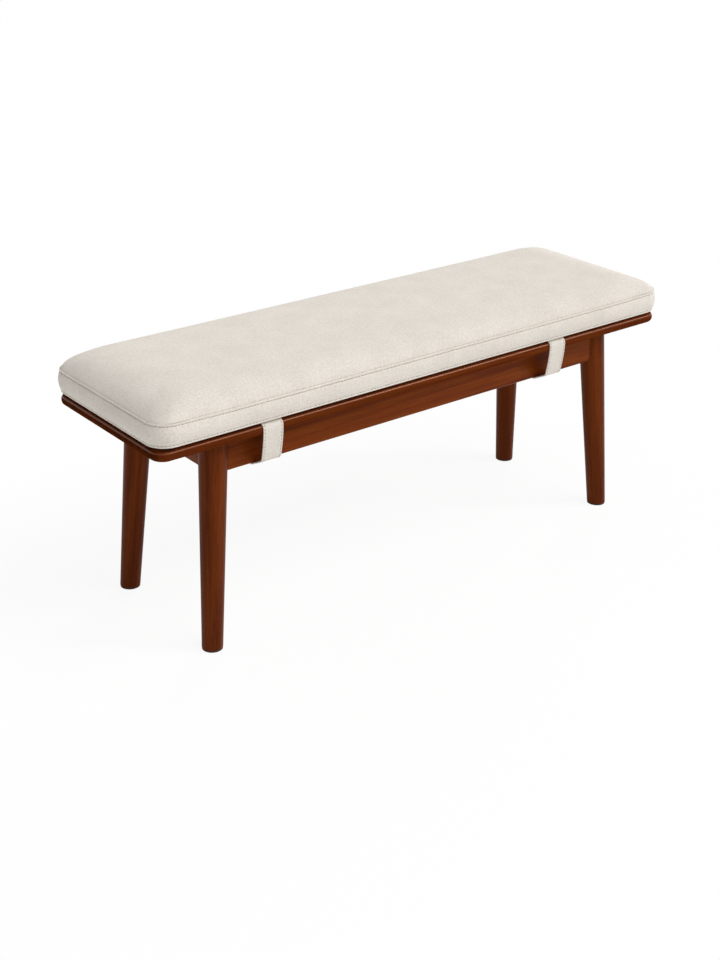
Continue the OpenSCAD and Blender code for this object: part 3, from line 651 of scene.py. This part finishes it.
# the cloth's inner face, plain and in fewer rows
RIM_LINED, BAND_LINED, TOP_LINED = Q_FOOT + 6, (Q_FOOT + 14, -4), 8
BAND_LINED_ROWS, TOP_LINED_ROWS = 3, 8
lining_q = np.concatenate([
    [Q_START, RIM_LINED],
    np.linspace(*BAND_LINED, BAND_LINED_ROWS),
    np.linspace(TOP_LINED, Q_END, TOP_LINED_ROWS),
])
lining_out, lining_up = level(lining_q, COVER_T)
lining_out[-1] = -HALF_W
lining = form(spots, lining_out, lining_up)
points = np.concatenate([lining[::-1], skin])

lining_flat = np.concatenate([lining_q[::-1], rows_q])
top_row = len(lining) + int(np.argmax(rows_q >= -TINY))
closed_spots = tuple(np.append(part, part[0] + extra) for part, extra in zip(spots, (0, 0, 2 * np.pi)))
flat_out = (side_out[-1] + Q_END - lining_flat)[:, None]
panel = np.stack(ring(closed_spots, flat_out), axis=-1) * MM
band = np.stack(np.broadcast_arrays(round_at[None, :], lining_flat[:, None]), axis=-1) * MM
is_top = (np.arange(len(points) - 1) >= top_row)[:, None, None]
uv = np.where(is_top, panel[:-1], band[:-1]), np.where(is_top, panel[1:], band[1:])

cover = make("cushion_cover_oatmeal", points, uv, sharp=75)
oatmeal = cloth("oatmeal_linen_weave", "#d0c8bd", "#e9e3db")
cover.data.materials.append(oatmeal)
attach(cover, "root")
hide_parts("cushion_cover")

# Topstitching
# Lockstitch in a darker thread, one row under the top seam and one along the band's lower edge. Part of
# the thread's darkness is painted shade for the grooves the stitches sink in. Real stitches are about
# 3.5 mm long; they are drawn 6 mm apart so that single ones show.
PITCH, STITCH_L, THREAD_R, DIVE = 6.0, 4.4, 0.55, 0.55
GRAIN_ROWS, GRAIN_COLUMNS = 7, 6
PROUD = 0.1                 # of the cloth's surface


def stitches(path, normal, closed=True):
    """Small grains of thread, laid end to end along a path on the cloth.

    A grain is a length times the way along it, a round of the thread's radius times the root of what is
    left of 1 after the square of that way, and dives at its ends as that square.
    """
    if closed:
        path, normal = np.append(path, path[:1], axis=0), np.append(normal, normal[:1], axis=0)
    along = np.concatenate([[0], np.cumsum(np.linalg.norm(np.diff(path, axis=0), axis=1))])
    count = int(along[-1] / PITCH)
    places = (np.arange(count) + 0.5) * along[-1] / count

    def at(values, where):
        return np.stack([np.interp(where, along, values[:, k]) for k in range(3)], axis=-1)

    tangent = at(path, places + 0.5) - at(path, places - 0.5)
    tangent /= np.linalg.norm(tangent, axis=1, keepdims=True)
    out = at(normal, places)
    out /= np.linalg.norm(out, axis=1, keepdims=True)
    beside = np.cross(tangent, out)
    a = np.sin(np.linspace(-np.pi / 2, np.pi / 2, GRAIN_ROWS))[None, :, None, None]
    b = np.linspace(0, 2 * np.pi, GRAIN_COLUMNS, endpoint=False)[None, None, :, None]
    wide = THREAD_R * np.sqrt(np.maximum(0, 1 - a * a))
    return (at(path, places)[:, None, None] + tangent[:, None, None] * a * STITCH_L / 2
            + wide * (out[:, None, None] * np.cos(b) - beside[:, None, None] * np.sin(b))
            - out[:, None, None] * DIVE * a * a)


def thread_piece(name, grains, material):
    """All grains as one mesh, each closed at its two tips."""
    count, rows, columns = grains.shape[:3]
    outwards = loop_faces(rows, columns)[:, [0, 3, 2, 1]]
    faces = (outwards[None] + (np.arange(count) * rows * columns)[:, None, None]).reshape(-1, 4)
    mesh = bpy.data.meshes.new(name)
    mesh.from_pydata(grains.reshape(-1, 3) * MM, [], faces.tolist())
    weld(mesh)
    mesh.materials.append(material)
    piece = put(name, mesh)
    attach(piece, "root")
    return piece


# twisted fibres with a faint shine, lighter and darker along the twist
TWIST = 1.5
thread, tree, shader = new_material("spun_polyester_thread")
twist = add(tree, "TexNoise", {"Vector": add(tree, "TexCoord").outputs["Object"], "Scale": 1 / (TWIST * MM)})
colour = add(tree, "ValToRGB", {"Fac": twist.outputs["Fac"]})
# darker than the thread alone would be: partly its own colour, partly painted shade for the stitch grooves
colour.color_ramp.elements[0].color = linear("#8f8373")
colour.color_ramp.elements[1].color = linear("#b4a897")
set_inputs(shader, {"Base Color": colour.outputs["Color"], "Roughness": 0.7})

normals = outward(skin)
for name, at_q in (("top_seam_stitches", STITCH_Q), ("lower_edge_stitches", HEM_Q)):
    row = int(np.argmin(np.abs(rows_q - at_q)))
    thread_piece(name, stitches(skin[row] + PROUD * normals[row], normals[row]), thread)

# Straps
# Four bands of the same cloth, folded double and topstitched along both edges. Each comes out from under
# the cushion, goes round the board's nose, hangs a little slack, and is held inside the apron by tapes.
# Places are a distance out from the bench's middle and a height, and turns are in degrees.
STRAP_W, STRAP_T = 38.0, 2.2
NOSE, NOSE_R, ROOT_TURN = np.array([151.0, 373.0]), 9.4, 74.6       # the round over the board's nose
FOLD, FOLD_R, FOLD_TURN = np.array([145.5, 322.0]), 8.0, -12.0      # the loose fold at the bottom
OUTSIDE, INSIDE, WRAP_R = np.array([122.2, 308.0]), np.array([109.2, 308.0]), 5.9       # under the apron
STRAP_END = (101.2, 343.5)
NOSE_STEPS, FALL_STEPS, FOLD_STEPS, UNDER_STEPS, INSIDE_STEPS = 24, 40, 12, 6, 12
ACROSS_STEPS, EDGE_STEPS = 48, 7
EDGE_STITCH, EDGE_GROOVE, EDGE_GROOVE_W, EDGE_LIFT = 3.2, 0.35, 0.7, 0.18
UNSTITCHED = 4              # at both ends of a strap


def arc(centre, radius, start, stop, steps):
    """Points on a circle about a centre, outwards and up, between two directions in degrees."""
    turn = np.radians(np.linspace(start, stop, steps))[:, None]
    return centre + radius * np.concatenate([np.cos(turn), np.sin(turn)], axis=1)


def strap_line():
    """A strap's middle line, outwards and up, as points a millimetre apart.

    It goes over the nose, down a cubic curve whose handles are a third of the drop, round a loose fold,
    straight back to the apron, under it and up its inner face. The straight run touches both rounds, so
    both face the same way there: the way between their middles, less an arc cosine.
    """
    apart = FOLD - OUTSIDE
    back = math.atan2(apart[1], apart[0]) - math.acos((WRAP_R - FOLD_R) / np.linalg.norm(apart))
    over = arc(NOSE, NOSE_R, ROOT_TURN, 0, NOSE_STEPS)
    fold = arc(FOLD, FOLD_R, FOLD_TURN, math.degrees(back), FOLD_STEPS)
    drop = (over[-1, 1] - fold[0, 1]) / 3
    turn = math.radians(FOLD_TURN)
    a, d = over[-1], fold[0]
    b, c = a - (0, drop), d - drop * np.array([math.sin(turn), -math.cos(turn)])
    t = np.linspace(0, 1, FALL_STEPS)[1:-1, None]
    fall = (1 - t) ** 3 * a + 3 * (1 - t) ** 2 * t * b + 3 * (1 - t) * t * t * c + t ** 3 * d
    under = arc(OUTSIDE, WRAP_R, math.degrees(back), -90, UNDER_STEPS)
    inside = arc(INSIDE, WRAP_R, -90, -180, INSIDE_STEPS)
    line = np.concatenate([over, fall, fold, under, inside, [STRAP_END]])
    length = np.concatenate([[0], np.cumsum(np.linalg.norm(np.diff(line, axis=0), axis=1))])
    even = np.linspace(0, length[-1], int(length[-1]))
    return np.stack([np.interp(even, length, line[:, k]) for k in range(2)], axis=-1), even


line, line_q = strap_line()
line_step = np.gradient(line, axis=0)
line_step /= np.linalg.norm(line_step, axis=1, keepdims=True)
line_out = np.stack([-line_step[:, 1], line_step[:, 0]], axis=-1)

half_w, half_t = STRAP_W / 2, STRAP_T / 2
across = np.linspace(-half_w + half_t, half_w - half_t, ACROSS_STEPS)
edge_turn = np.linspace(-np.pi / 2, np.pi / 2, EDGE_STEPS)[1:-1]
stitch_way = np.abs(np.abs(across) - (half_w - EDGE_STITCH))
face_h = half_t - EDGE_GROOVE * hill(stitch_way, 0, EDGE_GROOVE_W)
face_h = face_h + EDGE_LIFT * (np.abs(across) > half_w - EDGE_STITCH)
loop_w = np.concatenate([across, half_w - half_t + half_t * np.cos(edge_turn), across[::-1],
                         -half_w + half_t - half_t * np.cos(edge_turn)])
loop_h = np.concatenate([-face_h, half_t * np.sin(edge_turn), face_h[::-1], -half_t * np.sin(edge_turn)])
thickness = np.ones(len(line) + 2)
thickness[[0, -1]] = 0
row_of = np.concatenate([[0], np.arange(len(line)), [len(line) - 1]])


def strap_points(x, facing):
    """The band profile carried along the strap's line; facing is -1 at the front and 1 at the back."""
    high = loop_h[None] * thickness[:, None]
    outwards = line[row_of, 0][:, None] + line_out[row_of, 0][:, None] * high
    up = line[row_of, 1][:, None] + line_out[row_of, 1][:, None] * high
    return np.stack([x - facing * loop_w[None] + 0 * high, facing * outwards, up], axis=-1)


closed_w = np.append(loop_w, loop_w[0])
strap_uv = np.stack(np.broadcast_arrays(line_q[row_of][:, None], closed_w[None]), axis=-1) * MM
for node in ("front_left_strap", "front_right_strap", "back_left_strap", "back_right_strap"):
    low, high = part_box(node)
    x, facing = (low.x + high.x) / 2 / MM, -1 if node.startswith("front") else 1
    strap = make(f"{node}_band", strap_points(x, facing), (strap_uv[:-1], strap_uv[1:]), sharp=60)
    strap.data.materials.append(oatmeal)
    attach(strap, "root")
    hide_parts(node)
    grains = []
    for w in (-half_w + EDGE_STITCH, half_w - EDGE_STITCH):
        path = np.stack([np.full(len(line), x - facing * w), facing * (line + half_t * line_out)[:, 0],
                         (line + half_t * line_out)[:, 1]], axis=-1)
        out = np.stack([np.zeros(len(line)), facing * line_out[:, 0], line_out[:, 1]], axis=-1)
        grains.append(stitches(path[UNSTITCHED:-UNSTITCHED], out[UNSTITCHED:-UNSTITCHED], closed=False))
    thread_piece(f"{node}_stitches", np.concatenate(grains), thread)

# Hook and loop tapes
# Woven nylon tapes: stiff dark hooks glued and stapled to the apron's inner face, and brushed loops in
# the cloth's own colour, sewn to the end of each strap.
for node, dark, light, size, strength in (("strap_hook_tapes", "#1f1813", "#3d3129", 1.6, 0.9),
                                          ("strap_loop_tapes", "#b9b0a1", "#d2cabd", 0.8, 0.5)):
    tape, tree, shader = new_material("nylon_" + node.split("_")[1] + "_tape")
    place = add(tree, "TexCoord")
    pile = add(tree, "TexVoronoi", {"Vector": place.outputs["Object"], "Scale": 1 / (size * MM)})
    colour = add(tree, "ValToRGB", {"Fac": pile.outputs["Distance"]})
    colour.color_ramp.elements[0].color = linear(light)
    colour.color_ramp.elements[1].color = linear(dark)
    bump = add(tree, "Bump", {"Height": pile.outputs["Distance"], "Strength": strength, "Distance": 0.5 * MM},
               invert=True)
    set_inputs(shader, {"Base Color": colour.outputs["Color"], "Normal": bump.outputs[0], "Roughness": 0.6})
    finish_with(node, tape)

# Floor and light
# A plain white studio: white paper on the floor, an even white surround, a low soft key from the right and
# a little behind, a broad light from the front, and a small one that draws the line on the board's edge.
bpy.context.scene.view_settings.view_transform = "Standard"
FLOOR_HALF = 30.0
WHITE_SEEN, WHITE_MIRRORED = 0.9, 0.3       # how much of the floor glows white to the eye and in gloss
plane = bpy.data.meshes.new("studio_floor")
plane.from_pydata([(-FLOOR_HALF, -FLOOR_HALF, 0), (FLOOR_HALF, -FLOOR_HALF, 0),
                   (FLOOR_HALF, FLOOR_HALF, 0), (-FLOOR_HALF, FLOOR_HALF, 0)], [], [(0, 1, 2, 3)])
floor = put("studio_floor", plane)
paper = bpy.data.materials.new("white_paper_floor")
paper.use_nodes = True
tree = paper.node_tree
tree.nodes.clear()
seen = add(tree, "LightPath")
mirrored = add(tree, "Math", {0: seen.outputs["Is Glossy Ray"], 1: WHITE_MIRRORED}, operation="MULTIPLY")
share = add(tree, "Math", {0: seen.outputs["Is Camera Ray"], 1: WHITE_SEEN, 2: mirrored.outputs[0]},
            operation="MULTIPLY_ADD")
matt = add(tree, "BsdfDiffuse", {"Color": linear("#fafaf9")})
white = add(tree, "Emission", {"Color": (1, 1, 1, 1), "Strength": 1.0})
mixed = add(tree, "MixShader", {0: share.outputs[0], 1: matt.outputs[0], 2: white.outputs[0]})
add(tree, "OutputMaterial", {"Surface": mixed.outputs[0]})
plane.materials.append(paper)

AMBIENT, KEY, FRONT, EDGE = 0.41, 0.9, 1.52, 0.65
world = bpy.data.worlds.new("white_surround")
bpy.context.scene.world = world
world.use_nodes = True
tree = world.node_tree
tree.nodes.clear()
seen = add(tree, "LightPath")
shown = add(tree, "Math", {0: seen.outputs["Is Camera Ray"], 1: seen.outputs["Is Glossy Ray"]},
            operation="MAXIMUM")
shown = add(tree, "Math", {0: shown.outputs[0], 1: seen.outputs["Is Transmission Ray"]}, operation="MAXIMUM")
soft = add(tree, "Background", {"Color": (1, 1, 1, 1), "Strength": AMBIENT})
bright = add(tree, "Background", {"Color": (1, 1, 1, 1), "Strength": 1.0})
mixed = add(tree, "MixShader", {0: shown.outputs[0], 1: soft.outputs[0], 2: bright.outputs[0]})
add(tree, "OutputWorld", {"Surface": mixed.outputs[0]})

# each lamp's strength, its spread in degrees, and the way from the bench towards it
for name, strength, spread, towards in (("key_softbox", KEY, 25, (0.15, 0.10, 0.06)),
                                        ("front_softbox", FRONT, 45, (0.10, -0.165, 0.29)),
                                        ("edge_softbox", EDGE, 12, (0.62, -0.52, 0.58))):
    lamp = bpy.data.lights.new(name, "SUN")
    lamp.energy = strength
    lamp.angle = math.radians(spread)
    put(name, lamp).rotation_euler = Vector(towards).to_track_quat("Z", "Y").to_euler()

# Camera
# A long lens from the front left and above, in metres from the middle of the bench's footprint. Its
# direction has a heading to the right of straight back, a dip below level and a small roll.
EYE = Vector((-1.5649, -1.9230, 1.2879))
HEADING, DIP, ROLL = 0.6703, 0.4385, -0.0086
FOCAL_PX, TALL_PX, SENSOR = 1490.5, 960, 36.0
ahead = Vector((math.sin(HEADING) * math.cos(DIP), math.cos(HEADING) * math.cos(DIP), -math.sin(DIP)))
right = Vector((math.cos(HEADING), -math.sin(HEADING), 0))
down = ahead.cross(right)
image_x = math.cos(ROLL) * right + math.sin(ROLL) * down
image_y = -math.sin(ROLL) * right + math.cos(ROLL) * down
lens = bpy.data.cameras.new("photo_camera")
lens.sensor_width = SENSOR
lens.lens = FOCAL_PX / TALL_PX * SENSOR
camera = put("photo_camera", lens)
camera.matrix_world = Matrix.Translation(EYE) @ Matrix((image_x, -image_y, -ahead)).transposed().to_4x4()
bpy.context.scene.camera = camera
